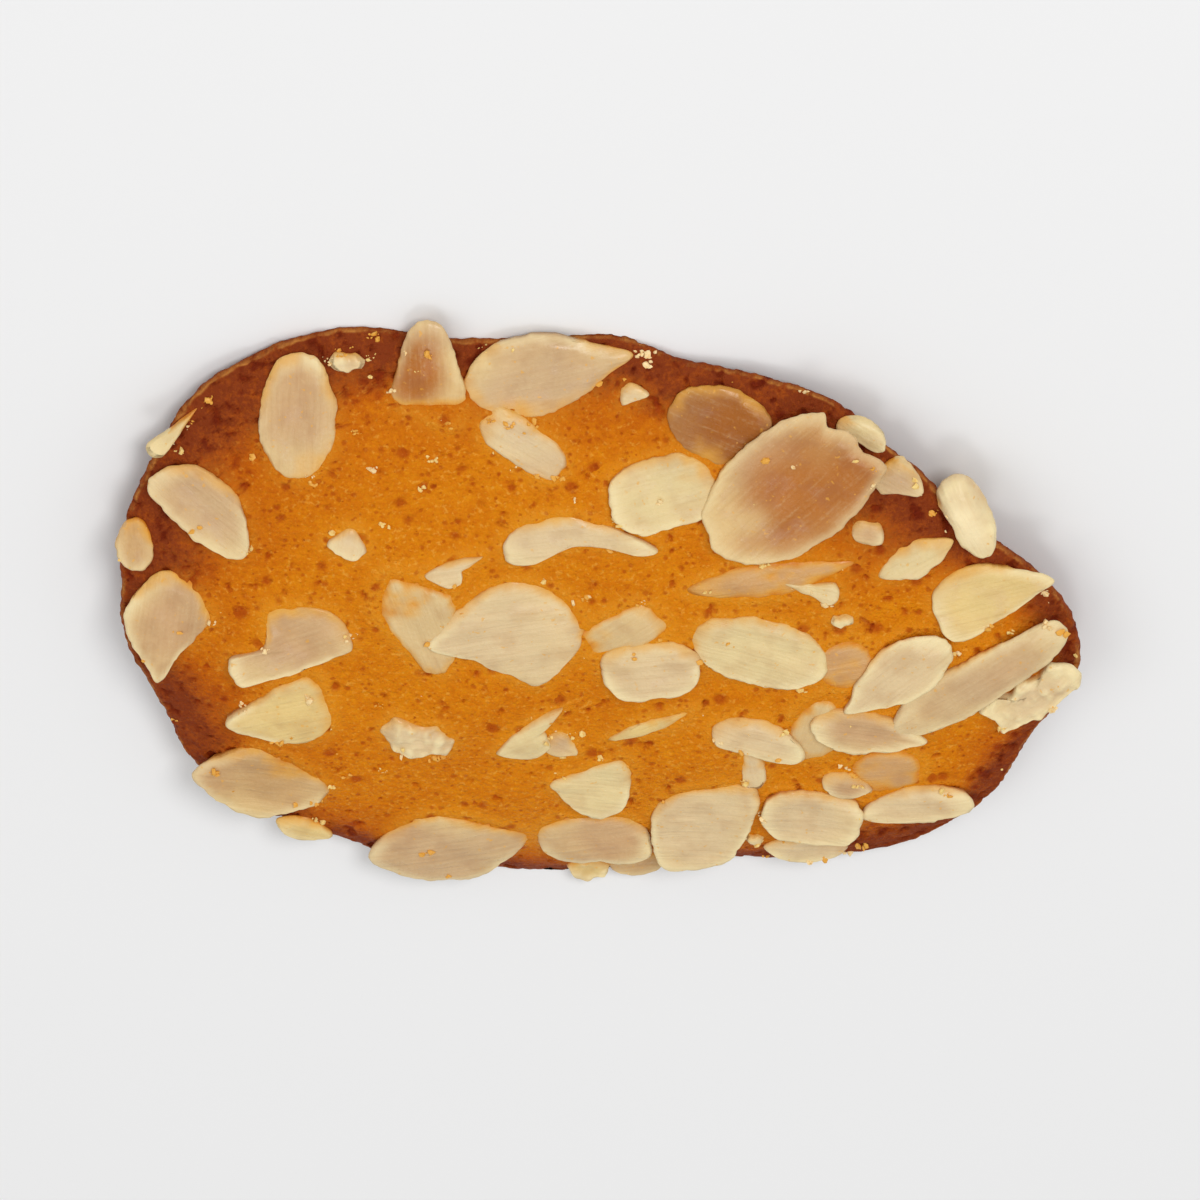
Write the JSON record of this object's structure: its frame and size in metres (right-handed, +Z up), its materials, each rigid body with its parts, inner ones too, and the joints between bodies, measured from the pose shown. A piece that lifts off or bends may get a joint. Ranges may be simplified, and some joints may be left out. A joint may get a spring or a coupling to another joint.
{
  "type": "almond tuile",
  "caption": "Thin oval almond tuile: a golden biscuit bent into a low arch, browned at the rim, with sliced almonds baked onto its top. Eaten by hand.",
  "frame": {"origin": "middle of the footprint, on the surface that the tuile lies on", "axes": "+X along the arch, the tuile's length; +Y across the arch; +Z up, out of the almond side"},
  "size_m": [0.0976, 0.0736, 0.009],
  "materials": {
    "biscuit": "baked golden biscuit, satin in the middle, dark brown and porous at the rim",
    "almond": "sliced almond, cream to light tan, toasted, satin with fine grain",
    "crumb": "loose pale biscuit and almond crumbs, matt"
  },
  "bodies": {
    "root": {"tuile": "biscuit"}
  },
  "joints": []
}
